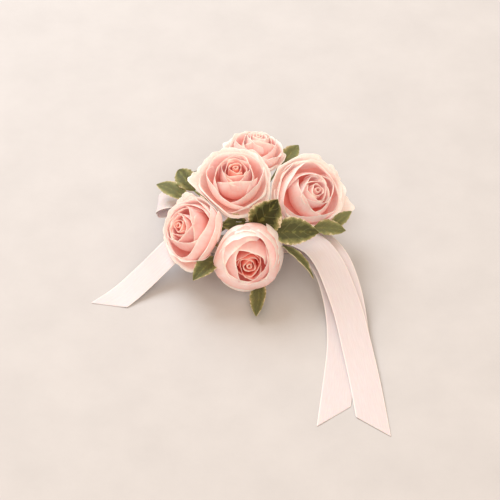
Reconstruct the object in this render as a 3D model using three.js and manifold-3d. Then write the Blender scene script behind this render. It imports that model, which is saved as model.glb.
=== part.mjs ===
// A wrist corsage: five spray roses, their leaves and a satin ribbon bow, held on an elastic wristlet.
// Millimetres, +Z up. The origin is the middle of the wristlet's underside, on the table.
// -Y is the front, where the longest ribbon tails lie, and the wrist goes through along Y.
import * as THREE from "three";
import { mergeVertices } from "three/addons/utils/BufferGeometryUtils.js";
import Module from "manifold-3d";

const wasm = await Module();
wasm.setup();

// Driving dimensions
const GAP = 0.35; // between pieces that touch
const WRISTLET = { length: 64, height: 14, width: 16, band: 1.4 }; // laid down flat, as an oval ring
const CLIP = { length: 20, sheet: 0.7, tab: 3.2 };
const PAD = { x: 1, y: 1, radius: 8.5, thick: 1.4 };
const BINDING = { radius: 4.2, height: 2.4 };
const RIBBON = { width: 15.5, thick: 0.3, steps: 26 };
const LEAF = { thick: 0.5, steps: 8, across: 2, stalk: 0.9 };
const STEM_RADIUS = 1.1;
const ROSE_SIDES = 20;

// Heights of the stack on top of the wristlet
const CLIP_TOP = WRISTLET.height + GAP + CLIP.sheet;
const LAYER = 0.65; // one ribbon and the gap over it
const PAD_BASE = CLIP_TOP + 3 * LAYER + GAP;
const BINDING_BASE = PAD_BASE + PAD.thick + GAP;
const BINDING_TOP = BINDING_BASE + BINDING.height;

// Each rose: where its calyx starts, which way it faces, its petals' widest radius and its depth.
const ROSES = {
  top: { base: [-2.3, 2.5, 28], faces: [0, -0.17, 0.985], radius: 20, depth: 26 },
  right: { base: [30.2, 10.4, 19.8], faces: [0.35, -0.5, 0.79], radius: 20, depth: 25 },
  left: { base: [-14.4, -13.9, 18], faces: [-0.62, -0.36, 0.7], radius: 19.5, depth: 25 },
  front: { base: [1.4, -20.8, 15.4], faces: [0.14, -0.83, 0.54], radius: 18.5, depth: 25.5 },
  back: { base: [7.8, 29.6, 22.4], faces: [0.08, 0.22, 0.97], radius: 17, depth: 23 },
};

// Each leaf: its stalk end, its tip, the way its upper side faces, its width, its arch and its keel.
const LEAVES = {
  leaf_middle: { base: [6.5, -21, 32], tip: [19.5, -13.5, 45], up: [0.25, -0.85, 0.5], width: 16, arch: 2, keel: 0.2 },
  leaf_middle_right: { base: [16, -22.5, 29.5], tip: [40.6, -23, 30.5], up: [0.1, -0.5, 0.85], width: 15, arch: 2.5, keel: 0.2 },
  leaf_under_right: { base: [20, -26, 25], tip: [37.5, -43.5, 17.5], up: [0.62, 0.1, 0.77], width: 8, arch: 2, keel: 0.35 },
  leaf_under_front: { base: [10, -34, 8], tip: [8.5, -57.5, 4.5], up: [-0.3, -0.5, 0.8], width: 9, arch: -1.5, keel: 0.3 },
  leaf_front_left: { base: [-11, -28, 17.5], tip: [-23.6, -42.5, 15.5], up: [-0.35, -0.5, 0.8], width: 11, arch: 1.5, keel: 0.25 },
  leaf_left: { base: [-27, 9, 22.5], tip: [-44.5, 22, 22], up: [0, -0.2, 1], width: 10, arch: 2.5, keel: 0.25 },
  leaf_left_back: { base: [-24, 14, 25], tip: [-33, 29, 26], up: [-0.2, -0.4, 0.9], width: 11, arch: 2, keel: 0.25 },
  leaf_back_right: { base: [20, 29, 27], tip: [31.5, 45.5, 29], up: [0.2, -0.4, 0.9], width: 9, arch: 2, keel: 0.25 },
  leaf_right: { base: [38, -13.5, 24.2], tip: [55, -13.5, 22.4], up: [0.1, -0.3, 0.95], width: 9.5, arch: 1.5, keel: 0.2 },
  leaf_right_small: { base: [45, -4, 20], tip: [58, 2, 26], up: [0.1, -0.5, 0.85], width: 6.5, arch: 1, keel: 0.2 },
  leaf_inner: { base: [4, -16, 30], tip: [-9, -20, 33], up: [0, -0.6, 0.8], width: 11, arch: 1, keel: 0.1 },
  leaf_back_left: { base: [-13, 18, 21], tip: [-26, 37, 17], up: [-0.2, 0.2, 0.95], width: 12, arch: 3, keel: 0.25 },
  leaf_back: { base: [3, 37, 17], tip: [-3, 58, 13], up: [0, 0.3, 0.95], width: 12, arch: 3, keel: 0.25 },
  leaf_far_right: { base: [34, 26, 21], tip: [50, 40, 17], up: [0.25, 0.2, 0.95], width: 12, arch: 3, keel: 0.25 },
};

// Each ribbon: the middle of its strip, from the bow's centre outwards, with the length that its slanting
// cut takes off one edge: off the right-hand edge, looking outwards, where the length is positive.
const CENTRE_Z = CLIP_TOP + GAP;
const FLAT_Z = RIBBON.thick / 2; // lying on the table
const RIBBONS = {
  ribbon_tail_left: {
    cut: -12,
    path: [[-5, -1, CENTRE_Z], [-14, -3, CENTRE_Z], [-24, -8, 14.8], [-32, -13.5, 12.8],
      [-40, -21, 9.6], [-48.5, -28.3, 5], [-57.5, -36.7, 1.5], [-65, -43.6, FLAT_Z], [-71.8, -49.8, FLAT_Z]],
  },
  ribbon_loop_left: {
    cut: 0,
    path: [[-5, 2, CENTRE_Z + 2 * LAYER], [-11, 4.8, 17.1], [-17, 8, 18.6], [-24, 11.5, 19.8], [-33, 14.8, 18.9],
      [-40.5, 16.4, 16], [-44, 16.9, 12.6], [-43, 16.9, 10.2], [-38, 16.2, 10.6], [-33, 15, 13.2],
      [-28, 13.2, 15], [-22, 10.6, 15.9], [-14, 6.5, 16.1], [-5, 2, CENTRE_Z + LAYER]],
  },
  ribbon_tail_under: {
    cut: -15,
    path: [[5, -1, CENTRE_Z], [14, -4.5, CENTRE_Z + 0.2], [25, -13, 16.6], [33, -20, 17.4], [40, -26, 16.6],
      [46, -34, 12.8], [50, -46, 7], [51.8, -60, 2.4], [51.4, -78, 0.5], [49, -98, FLAT_Z], [45.1, -127.7, FLAT_Z]],
  },
  ribbon_tail_short: {
    cut: 10,
    path: [[5, 0, CENTRE_Z + LAYER], [14, -3, 16.6], [26, -9, 17.8], [36, -15, 19.3], [43, -20, 19.2],
      [49.3, -28.5, 16.4], [54.6, -43, 9.8], [57, -58, 4.6], [58, -72, 2]],
  },
  ribbon_tail_right: {
    cut: 14,
    path: [[5, -1, CENTRE_Z + 2 * LAYER], [14, -5.5, 17.6], [25, -14, 20.4], [33, -19.8, 22.6], [39.5, -25, 22.2],
      [45.8, -32.8, 18.4], [51, -43.6, 12.2], [55.4, -57, 6.7], [58.9, -76, 3], [62.4, -101, 1.2], [65.8, -133.7, FLAT_Z]],
  },
};

const vec = (p) => new THREE.Vector3(...p);

// A geometry as a manifold-3d solid, which joins and cuts, and back again.
function solidOf(geometry) {
  const bare = geometry.index ? geometry.toNonIndexed() : geometry.clone();
  bare.deleteAttribute("normal");
  bare.deleteAttribute("uv");
  const merged = mergeVertices(bare, 1e-4);
  return new wasm.Manifold(new wasm.Mesh({
    numProp: 3,
    vertProperties: merged.attributes.position.array,
    triVerts: new Uint32Array(merged.index.array),
  }));
}

function geometryOf(solid) {
  const mesh = solid.getMesh();
  const geometry = new THREE.BufferGeometry();
  geometry.setAttribute("position", new THREE.BufferAttribute(mesh.vertProperties, 3));
  geometry.setIndex(new THREE.BufferAttribute(mesh.triVerts, 1));
  return geometry;
}

// The largest body of a solid once it has been cut clear of its neighbours, a small gap left all round.
function clearOf(solid, neighbours) {
  const around = boundsOf(solid).expandByScalar(2 * GAP);
  for (const neighbour of neighbours) {
    if (!around.intersectsBox(boundsOf(neighbour)) || solid.minGap(neighbour, 2 * GAP) >= GAP) continue;
    for (const axis of [0, 1, 2]) {
      for (const step of [-GAP, GAP]) {
        const shift = [0, 0, 0];
        shift[axis] = step;
        solid = largestOf(solid.subtract(neighbour.translate(shift)));
      }
    }
  }
  return solid;
}

function boundsOf(solid) {
  const { min, max } = solid.boundingBox();
  return new THREE.Box3(vec(min), vec(max));
}

const largestOf = (solid) => solid.decompose().reduce((a, b) => (a.volume() > b.volume() ? a : b));

// A lathe turned about Z, its profile given as [radius, height] pairs from the bottom up.
function turned(profile, sides = ROSE_SIDES) {
  const points = profile.map(([r, z]) => new THREE.Vector2(r, z));
  return new THREE.LatheGeometry(points, sides).rotateX(Math.PI / 2);
}

// Materials
const finish = (color, roughness) => new THREE.MeshStandardMaterial({ color, roughness, metalness: 0 });
const PETAL_HEART = finish("#eb9c8f", 0.6);
const PETAL_INNER = finish("#f5c0b6", 0.6);
const PETAL_OUTER = finish("#fbdcd0", 0.6);
const LEAF_GREEN = finish("#5f6a3a", 0.5);
const SEPAL_GREEN = finish("#7f8f52", 0.6);
const SATIN = finish("#f6e5e0", 0.4);
const ELASTIC = finish("#f3e6e1", 0.75);
const FELT = finish("#f1e2dc", 0.9);
const TAPE = finish("#6f7d45", 0.7);
const CLIP_STEEL = new THREE.MeshStandardMaterial({ color: "#c9c6c2", roughness: 0.35, metalness: 1 });

const corsage = new THREE.Group();

function add(name, geometry, material, parent = corsage) {
  const mesh = new THREE.Mesh(geometry, material);
  mesh.name = name;
  parent.add(mesh);
  return mesh;
}

// The wristlet: an elastic ring that lies flattened under the flowers.
function ovalPath(length, height, shape) {
  const radius = height / 2;
  const straight = length / 2 - radius;
  shape.moveTo(-straight, -radius);
  shape.lineTo(straight, -radius);
  shape.absarc(straight, 0, radius, -Math.PI / 2, Math.PI / 2, false);
  shape.lineTo(-straight, radius);
  shape.absarc(-straight, 0, radius, Math.PI / 2, (3 * Math.PI) / 2, false);
  return shape;
}

function wristlet() {
  const { length, height, width, band } = WRISTLET;
  const ring = ovalPath(length, height, new THREE.Shape());
  ring.holes.push(ovalPath(length - 2 * band, height - 2 * band, new THREE.Path()));
  return new THREE.ExtrudeGeometry(ring, { depth: width, bevelEnabled: false, curveSegments: 10 })
    .rotateX(Math.PI / 2)
    .translate(0, width / 2, height / 2);
}

// The clip: a bent steel saddle whose two tabs hug the band's edges.
function clip() {
  const inner = WRISTLET.width / 2 + GAP;
  const outer = inner + CLIP.sheet;
  const under = WRISTLET.height + GAP;
  const saddle = new THREE.Shape();
  saddle.moveTo(-outer, under - CLIP.tab);
  saddle.lineTo(-inner, under - CLIP.tab);
  saddle.lineTo(-inner, under);
  saddle.lineTo(inner, under);
  saddle.lineTo(inner, under - CLIP.tab);
  saddle.lineTo(outer, under - CLIP.tab);
  saddle.lineTo(outer, CLIP_TOP);
  saddle.lineTo(-outer, CLIP_TOP);
  saddle.closePath();
  return new THREE.ExtrudeGeometry(saddle, { depth: CLIP.length, bevelEnabled: false })
    .rotateX(Math.PI / 2)
    .rotateZ(Math.PI / 2)
    .translate(-CLIP.length / 2, 0, 0);
}

function disc(radius, height, z) {
  return new THREE.CylinderGeometry(radius, radius, height, 28)
    .rotateX(Math.PI / 2)
    .translate(PAD.x, PAD.y, z + height / 2);
}

// A flat strip that follows a curve, its width level, with a slanting cut at its far end.
function strip({ path, cut }) {
  const curve = new THREE.CatmullRomCurve3(path.map(vec), false, "centripetal");
  const length = curve.getLength();
  const box = new THREE.BoxGeometry(1, RIBBON.width, RIBBON.thick, RIBBON.steps, 1, 1);
  const position = box.attributes.position;
  const up = new THREE.Vector3(0, 0, 1);
  for (let i = 0; i < position.count; i++) {
    const along = position.getX(i) + 0.5;
    const across = position.getY(i);
    const shortened = 1 - (Math.abs(cut) / length) * (0.5 - (Math.sign(cut) * across) / RIBBON.width);
    const share = along * shortened;
    const centre = curve.getPointAt(share);
    const tangent = curve.getTangentAt(share);
    const side = levelSide(curve, share, up);
    const normal = new THREE.Vector3().crossVectors(side, tangent);
    centre.z = Math.max(centre.z, FLAT_Z);
    centre.addScaledVector(side, across).addScaledVector(normal, position.getZ(i));
    position.setXYZ(i, centre.x, centre.y, Math.max(centre.z, 0));
  }
  return closedFacingOut(box);
}

// The level direction across a strip, on its left-hand side at the start, kept from flipping in a loop.
function levelSide(curve, share, up) {
  const start = curve.getTangentAt(0);
  const first = new THREE.Vector3().crossVectors(up, start).normalize();
  const tangent = curve.getTangentAt(share);
  const side = new THREE.Vector3().crossVectors(up, tangent);
  if (side.length() < 0.15) return first;
  side.normalize();
  return side.dot(first) < 0 ? side.negate() : side;
}

function closedFacingOut(geometry) {
  const solid = solidOf(geometry);
  if (solid.volume() > 0) return geometryOf(solid);
  return geometryOf(solid.mirror([0, 0, 1])).scale(1, 1, -1);
}

// A rose, in its own frame: +Z is the way it faces and its calyx starts at the origin.
// Profiles are for a rose of radius 20 and depth 26.
const HEART = [[0, 8.1], [3.6, 8.1], [6.2, 11], [7.2, 15.5], [7, 21], [5.4, 25.4], [2.6, 27.4], [0, 27.8]];
const INNER_PETALS = [[0, 6.9], [4, 6.9], [8.6, 9.2], [11.4, 13], [13, 18.5], [13.4, 23.5], [12.6, 26.8],
  [11, 27], [10.2, 23.5], [9.8, 18.5], [8.6, 13.4], [6, 9.6], [3.4, 7.7], [0, 7.7]];
const OUTER_PETALS = [[0, 5.8], [5.5, 5.8], [11, 8.2], [15.4, 12.6], [18, 18.4], [19.6, 23.2], [19, 24.4],
  [17, 23.8], [15, 18.6], [12.9, 13], [9.6, 8.8], [5, 6.5], [0, 6.5]];
const CALYX = [[0, 0], [1.6, 0], [3.4, 1.6], [4.8, 4], [5, 5.4], [0, 5.4]];
const SEPAL = { from: 3.5, reach: 12, width: 4.6, thick: 0.6, z: 4.4 };
const PETALS_IN_WHORL = 5;

function roseGroup({ base, faces }) {
  const group = new THREE.Group();
  group.position.copy(vec(base));
  group.quaternion.setFromUnitVectors(new THREE.Vector3(0, 0, 1), vec(faces).normalize());
  group.updateMatrixWorld(true);
  corsage.add(group);
  return group;
}

const sized = (geometry, { radius, depth }) => geometry.scale(radius / 20, radius / 20, depth / 26);

// A whorl of petals: a cup whose rim rises and falls once for each petal.
function whorl(profile, rose, turn, lift) {
  const cup = turned(profile);
  const floor = profile[1][1];
  const tall = Math.max(...profile.map(([, z]) => z)) - floor;
  const position = cup.attributes.position;
  for (let i = 0; i < position.count; i++) {
    const point = new THREE.Vector3().fromBufferAttribute(position, i);
    const lobe = Math.cos(PETALS_IN_WHORL * (Math.atan2(point.y, point.x) - turn));
    const high = Math.max(0, (point.z - floor) / tall) ** 2;
    position.setZ(i, point.z + lift * high * lobe);
  }
  return solidOf(sized(cup, rose));
}

// The calyx: a small green cup with five sepals that spread under the petals.
function calyx(rose) {
  const { from, reach, width, thick, z } = SEPAL;
  const outline = new THREE.Shape();
  outline.moveTo(from, -width / 3);
  outline.quadraticCurveTo(from + 4, -width / 2, reach, 0);
  outline.quadraticCurveTo(from + 4, width / 2, from, width / 3);
  outline.closePath();
  let body = solidOf(turned(CALYX));
  for (let i = 0; i < PETALS_IN_WHORL; i++) {
    const sepal = new THREE.ExtrudeGeometry(outline, { depth: thick, bevelEnabled: false, curveSegments: 3 })
      .translate(0, 0, z)
      .rotateZ((i * 2 * Math.PI) / PETALS_IN_WHORL + 0.3);
    body = body.add(solidOf(sepal));
  }
  return body.transform(new THREE.Matrix4().makeScale(rose.radius / 20, rose.radius / 20, rose.depth / 26).elements);
}

// Cuts a rose's piece back to its own side of the plane half way to each neighbour.
function keptToItsSide(solid, key, group) {
  const middle = (rose) => vec(rose.base).addScaledVector(vec(rose.faces).normalize(), 0.75 * rose.depth);
  const here = middle(ROSES[key]);
  for (const other of Object.keys(ROSES)) {
    if (other === key) continue;
    const there = middle(ROSES[other]);
    const toward = there.clone().sub(here);
    const share = ROSES[key].radius / (ROSES[key].radius + ROSES[other].radius);
    const point = here.clone().addScaledVector(toward, share);
    const normal = toward.normalize().negate();
    point.addScaledVector(normal, GAP / 2);
    const plane = new THREE.Plane().setFromNormalAndCoplanarPoint(normal, point);
    plane.applyMatrix4(group.matrixWorld.clone().invert());
    solid = solid.trimByPlane(plane.normal.toArray(), -plane.constant);
  }
  return largestOf(solid);
}

// A rose's stem, from under its calyx to the taped binding.
function stem({ base, faces }) {
  const axis = vec(faces).normalize();
  const start = vec(base).addScaledVector(axis, -GAP);
  const hub = new THREE.Vector3(PAD.x, PAD.y, BINDING_BASE + STEM_RADIUS + GAP);
  const aside = start.clone().sub(hub).setZ(0);
  const level = aside.length() > BINDING.radius + STEM_RADIUS;
  const end = level
    ? hub.clone().addScaledVector(aside.normalize(), BINDING.radius + 2 * GAP)
    : new THREE.Vector3(start.x, start.y, BINDING_TOP + GAP);
  const bend = start.clone().addScaledVector(axis, -start.distanceTo(end) * 0.35);
  bend.z = Math.max(bend.z, level ? hub.z : end.z);
  const curve = new THREE.QuadraticBezierCurve3(start, bend, end);
  const section = new THREE.Shape().absarc(0, 0, STEM_RADIUS, 0, 2 * Math.PI, false);
  return new THREE.ExtrudeGeometry(section, { steps: level ? 5 : 1, extrudePath: curve, curveSegments: 4 });
}

const turnedInto = (solid, matrix) => solid.transform(matrix.elements);

const roseSolids = [];
for (const [key, rose] of Object.entries(ROSES)) {
  const group = roseGroup(rose);
  const pieces = {
    heart: [solidOf(sized(turned(HEART), rose)), PETAL_HEART],
    inner_petals: [whorl(INNER_PETALS, rose, 0.6, 0.6), PETAL_INNER],
    outer_petals: [whorl(OUTER_PETALS, rose, 0, 1), PETAL_OUTER],
    calyx: [calyx(rose), SEPAL_GREEN],
  };
  for (const [piece, [whole, material]] of Object.entries(pieces)) {
    const solid = keptToItsSide(whole, key, group);
    add(`rose_${key}_${piece}`, geometryOf(solid), material, group);
    roseSolids.push(turnedInto(solid, group.matrixWorld));
  }
}

// Stems give way to the calyces and petals that they pass.
for (const [key, rose] of Object.entries(ROSES)) {
  const solid = clearOf(solidOf(stem(rose)), roseSolids);
  add(`rose_${key}_stem`, geometryOf(solid), SEPAL_GREEN);
  roseSolids.push(solid);
}

// A leaf: a thin plate, pointed at both ends, keeled along its midrib and arched along its length,
// on a stalk that comes from the binding.
function leaf({ base, tip, up, width, arch, keel }) {
  const from = vec(base);
  const along = vec(tip).sub(from);
  const length = along.length();
  along.normalize();
  const side = new THREE.Vector3().crossVectors(vec(up), along).normalize();
  const normal = new THREE.Vector3().crossVectors(along, side);
  const plate = new THREE.BoxGeometry(1, 1, LEAF.thick, LEAF.steps, LEAF.across, 1);
  const position = plate.attributes.position;
  for (let i = 0; i < position.count; i++) {
    const t = position.getX(i) + 0.5;
    const half = Math.max(LEAF.stalk / 2, (width / 2) * Math.sin(Math.PI * t ** 0.85) ** 0.8);
    const across = position.getY(i) * 2 * half;
    const height = position.getZ(i) + keel * Math.abs(across) + arch * 4 * t * (1 - t);
    const point = from.clone()
      .addScaledVector(along, t * length)
      .addScaledVector(side, across)
      .addScaledVector(normal, height);
    position.setXYZ(i, point.x, point.y, point.z);
  }
  return solidOf(plate).add(solidOf(leafStalk(from, along)));
}

function leafStalk(from, along) {
  const radius = LEAF.stalk / 2;
  const inside = from.clone().addScaledVector(along, radius);
  const hub = new THREE.Vector3(PAD.x, PAD.y, BINDING_BASE + radius + GAP);
  const out = from.clone().sub(hub).setZ(0).normalize();
  const root = hub.clone().addScaledVector(out, BINDING.radius + GAP);
  const bend = root.clone().lerp(from, 0.6).setZ(Math.min(hub.z, from.z) - radius);
  const curve = new THREE.QuadraticBezierCurve3(root, bend, inside);
  const section = new THREE.Shape().absarc(0, 0, radius, 0, 2 * Math.PI, false);
  return new THREE.ExtrudeGeometry(section, { steps: 5, extrudePath: curve, curveSegments: 3 });
}

const wristletSolid = solidOf(wristlet());
add("wristlet_band", geometryOf(wristletSolid), ELASTIC);
add("wristlet_clip", closedFacingOut(clip()), CLIP_STEEL);
add("felt_pad", disc(PAD.radius, PAD.thick, PAD_BASE), FELT);
add("tape_binding", disc(BINDING.radius, BINDING.height, BINDING_BASE), TAPE);

const ribbonSolids = [];
for (const [name, ribbon] of Object.entries(RIBBONS)) {
  const geometry = strip(ribbon);
  add(name, geometry, SATIN);
  ribbonSolids.push(solidOf(geometry));
}

// Leaves give way to the roses and to the leaves before them.
const placed = [...roseSolids, ...ribbonSolids];
for (const [name, shape] of Object.entries(LEAVES)) {
  const solid = clearOf(leaf(shape), placed);
  add(name, geometryOf(solid), LEAF_GREEN);
  placed.push(solid);
}

export default corsage;
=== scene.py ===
"""A wrist corsage: five blush spray roses with variegated leaves and satin ribbon, on an elastic wristlet.

Metres, +Z up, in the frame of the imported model. -Y is the front, where the long ribbon tails lie.
"""
import math
import random

import bmesh
import bpy
from mathutils import Matrix, Quaternion, Vector, noise


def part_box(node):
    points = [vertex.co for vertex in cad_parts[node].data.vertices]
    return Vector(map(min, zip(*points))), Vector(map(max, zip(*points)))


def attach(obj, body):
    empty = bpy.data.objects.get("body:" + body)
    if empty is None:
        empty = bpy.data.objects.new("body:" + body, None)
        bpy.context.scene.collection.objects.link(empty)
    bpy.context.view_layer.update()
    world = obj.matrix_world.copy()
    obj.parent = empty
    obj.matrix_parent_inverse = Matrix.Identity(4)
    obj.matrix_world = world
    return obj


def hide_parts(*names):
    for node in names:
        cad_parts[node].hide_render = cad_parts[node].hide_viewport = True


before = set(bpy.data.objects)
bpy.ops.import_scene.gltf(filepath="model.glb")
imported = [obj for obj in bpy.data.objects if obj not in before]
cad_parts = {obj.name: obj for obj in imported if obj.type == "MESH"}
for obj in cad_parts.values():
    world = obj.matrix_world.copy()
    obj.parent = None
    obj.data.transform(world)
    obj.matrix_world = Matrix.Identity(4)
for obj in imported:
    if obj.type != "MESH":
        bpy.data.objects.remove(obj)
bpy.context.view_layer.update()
MM = 0.001
PETAL_WALL = 0.24 * MM
LEAF_WALL = 0.3 * MM
RIBBON_WALL = 0.22 * MM


# ---------------------------------------------------------------- camera and light
VIEW_WIDTH = 0.265  # what the frame takes in at the object
DISTANCE = 1.0
TILT = math.radians(45)
TARGET = Vector((0.0053, -0.0052, 0))


def aimed(obj, place, target):
    obj.location = place
    obj.rotation_euler = (Vector(target) - Vector(place)).to_track_quat("-Z", "Y").to_euler()
    bpy.context.scene.collection.objects.link(obj)
    return obj


def camera():
    lens = bpy.data.cameras.new("camera")
    lens.sensor_width = 36
    lens.lens = lens.sensor_width * DISTANCE / VIEW_WIDTH
    lens.clip_start = 0.01
    place = TARGET + Vector((0, -math.cos(TILT), math.sin(TILT))) * DISTANCE
    bpy.context.scene.camera = aimed(bpy.data.objects.new("camera", lens), place, TARGET)


def softbox(name, place, size, watts, colour):
    lamp = bpy.data.lights.new(name, "AREA")
    lamp.shape = "DISK"
    lamp.size = size
    lamp.energy = watts
    lamp.color = srgb(colour)[:3]
    aimed(bpy.data.objects.new(name, lamp), place, (0, 0, 0.02))


# ---------------------------------------------------------------- colour and nodes
def srgb(text):
    """An sRGB hex colour as linear red, green, blue and alpha."""
    def linear(c):
        return c / 12.92 if c <= 0.04045 else ((c + 0.055) / 1.055) ** 2.4
    return tuple(linear(int(text[i:i + 2], 16) / 255) for i in (1, 3, 5)) + (1.0,)


def add_node(tree, kind, links=None, **settings):
    """Adds a node. links maps an input to an output socket or to a value; settings are its own properties."""
    node = tree.nodes.new("ShaderNode" + kind)
    for name, value in settings.items():
        setattr(node, name, value)
    for name, value in (links or {}).items():
        if isinstance(value, bpy.types.NodeSocket):
            tree.links.new(value, node.inputs[name])
        else:
            node.inputs[name].default_value = value
    return node


def set_ramp(node, stops):
    ramp = node.color_ramp
    while len(ramp.elements) < len(stops):
        ramp.elements.new(0.5)
    for element, (place, colour) in zip(ramp.elements, stops):
        element.position = place
        element.color = srgb(colour)
    return node


def new_material(name, **surface):
    """A material with one Principled surface, its plain values set on its own sockets."""
    material = bpy.data.materials.new(name)
    material.use_nodes = True
    tree = material.node_tree
    shader = tree.nodes["Principled BSDF"]
    for socket, value in surface.items():
        shader.inputs[socket.replace("_", " ")].default_value = value
    return material, tree, shader


def mixed(tree, factor, a, b, **settings):
    """The colour that is mixed from a to b by factor. a and b are each an output socket or a colour."""
    node = add_node(tree, "Mix", data_type="RGBA", **settings)
    a_in, b_in = [i for i in node.inputs if i.type == "RGBA"]
    for socket, value in ((node.inputs["Factor"], factor), (a_in, a), (b_in, b)):
        if isinstance(value, bpy.types.NodeSocket):
            tree.links.new(value, socket)
        else:
            socket.default_value = value
    return next(o for o in node.outputs if o.type == "RGBA")


def bump(tree, shader, height, strength, distance):
    node = add_node(tree, "Bump", {"Height": height, "Strength": strength, "Distance": distance})
    tree.links.new(node.outputs["Normal"], shader.inputs["Normal"])


# ---------------------------------------------------------------- materials
def rose_petal():
    """Fresh rose petal: thin, velvety and slightly see-through. It glows pink where petals crowd together, partly
    from its own deeper colour and partly from painted shade and a painted glow, and turns cream at the rim. Fine
    veins fan out along it."""
    material, tree, shader = new_material(
        "rose_petal", Roughness=0.62, IOR=1.4, Subsurface_Weight=0.3, Subsurface_Scale=0.0015,
        Sheen_Weight=0.12, Sheen_Roughness=0.4, Specular_IOR_Level=0.25)
    shader.inputs["Subsurface Radius"].default_value = (1.0, 0.6, 0.5)
    uv = add_node(tree, "UVMap", uv_map="petal").outputs["UV"]
    split = add_node(tree, "SeparateXYZ", {"Vector": uv})
    depth = add_node(tree, "Attribute", attribute_name="depth").outputs["Fac"]

    # blotches soften the edges between the bands of colour
    place = add_node(tree, "TexCoord").outputs["Object"]
    blotch = add_node(tree, "TexNoise", {"Vector": place, "Scale": 260.0, "Detail": 3.0})
    wander = add_node(tree, "MapRange", {"Value": blotch.outputs["Fac"], "From Min": 0.3, "From Max": 0.7,
                                         "To Min": -0.07, "To Max": 0.07})
    along = add_node(tree, "Math", {0: split.outputs["Y"], 1: wander.outputs["Result"]}, operation="ADD")

    # painted shade: the deeper coral low along V, towards the claw, and in the heart is partly the rose's own
    # colour and partly painted, for shade and pink light bounced in the crevices between petals
    pale = set_ramp(add_node(tree, "ValToRGB", {"Fac": along.outputs[0]}),
                    [(0.0, "#fbc6b6"), (0.35, "#fee6dc"), (0.7, "#fff4ee"), (1.0, "#fffcf6")])
    pink = set_ramp(add_node(tree, "ValToRGB", {"Fac": along.outputs[0]}),
                    [(0.0, "#ea7460"), (0.42, "#f7b4aa"), (0.75, "#fbdcda"), (0.9, "#fde7e4"), (0.98, "#fffaf0")])
    coral = set_ramp(add_node(tree, "ValToRGB", {"Fac": along.outputs[0]}),
                     [(0.0, "#bf321d"), (0.4, "#da4d38"), (0.7, "#eb7866"), (0.91, "#f6a99b"), (0.99, "#ffe8da")])
    to_pink = add_node(tree, "MapRange", {"Value": depth, "From Max": 0.5})
    to_coral = add_node(tree, "MapRange", {"Value": depth, "From Min": 0.5})
    blush = mixed(tree, to_pink.outputs["Result"], pale.outputs["Color"], pink.outputs["Color"])
    colour = mixed(tree, to_coral.outputs["Result"], blush, coral.outputs["Color"])

    # veins about 1.2 mm apart at the rim of an outer petal, and closer on the smaller ones
    stretched = add_node(tree, "Mapping", {"Vector": uv, "Scale": (34.0, 2.2, 1.0)})
    veins = add_node(tree, "TexNoise", {"Vector": stretched.outputs["Vector"], "Scale": 1.0, "Detail": 4.0})
    tint = add_node(tree, "MapRange", {"Value": veins.outputs["Fac"], "From Min": 0.3, "From Max": 0.7,
                                       "To Min": 0.0, "To Max": 1.0})
    veined = mixed(tree, tint.outputs["Result"], colour, srgb("#fef5f2"), blend_type="MULTIPLY")
    tree.links.new(veined, shader.inputs["Base Color"])
    # painted glow: a faint emission, in the petal's own colour, stands for light that has come through the
    # neighbouring petals
    tree.links.new(colour, shader.inputs["Emission Color"])
    shader.inputs["Emission Strength"].default_value = 0.09
    bump(tree, shader, veins.outputs["Fac"], 0.25, 0.0004)
    return material


def rose_leaf():
    """Variegated leaf: waxy, dark green in the middle and cream at the margin, with sunken veins."""
    material, tree, shader = new_material(
        "variegated_leaf", Roughness=0.58, IOR=1.45, Subsurface_Weight=0.08, Subsurface_Scale=0.001,
        Specular_IOR_Level=0.25)
    uv = add_node(tree, "UVMap", uv_map="leaf").outputs["UV"]
    split = add_node(tree, "SeparateXYZ", {"Vector": uv})
    place = add_node(tree, "TexCoord").outputs["Object"]
    blotch = add_node(tree, "TexNoise", {"Vector": place, "Scale": 330.0, "Detail": 4.0, "Roughness": 0.6})
    # U is 0 at the midrib and 1 at the margin
    ragged = add_node(tree, "MapRange", {"Value": blotch.outputs["Fac"], "From Min": 0.3, "From Max": 0.7,
                                         "To Min": -0.2, "To Max": 0.2})
    edge = add_node(tree, "Math", {0: split.outputs["X"], 1: ragged.outputs["Result"]}, operation="ADD")
    blade = set_ramp(add_node(tree, "ValToRGB", {"Fac": edge.outputs[0]}),
                     [(0.0, "#6c6c36"), (0.08, "#43441c"), (0.45, "#38391a"), (0.72, "#6f7040"),
                      (0.92, "#a69e6c"), (1.0, "#ecdcbc")])
    # side veins slant towards the tip
    slant = add_node(tree, "Math", {0: split.outputs["X"], 1: -0.32}, operation="MULTIPLY")
    across = add_node(tree, "Math", {0: split.outputs["Y"], 1: slant.outputs[0]}, operation="ADD")
    teeth = add_node(tree, "Math", {0: across.outputs[0], 1: 9.0}, operation="MULTIPLY")
    wave = add_node(tree, "Math", {0: teeth.outputs[0], 1: 1.0, 2: 1.0}, operation="PINGPONG")
    vein = add_node(tree, "MapRange", {"Value": wave.outputs[0], "From Min": 0.0, "From Max": 0.16,
                                       "To Min": 1.0, "To Max": 0.0})
    faint = add_node(tree, "Math", {0: vein.outputs["Result"], 1: 0.35}, operation="MULTIPLY")
    veined = mixed(tree, faint.outputs[0], blade.outputs["Color"], srgb("#8c9060"))
    # depth is painted light: how far the leaf is drawn lighter and hazier, for the light that falls on it
    painted_light = add_node(tree, "Attribute", attribute_name="depth").outputs["Fac"]
    tree.links.new(mixed(tree, painted_light, veined, srgb("#a9b07c")), shader.inputs["Base Color"])
    relief = add_node(tree, "Math", {0: blotch.outputs["Fac"], 1: vein.outputs["Result"]}, operation="SUBTRACT")
    bump(tree, shader, relief.outputs[0], 0.5, 0.0003)
    return material


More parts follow.
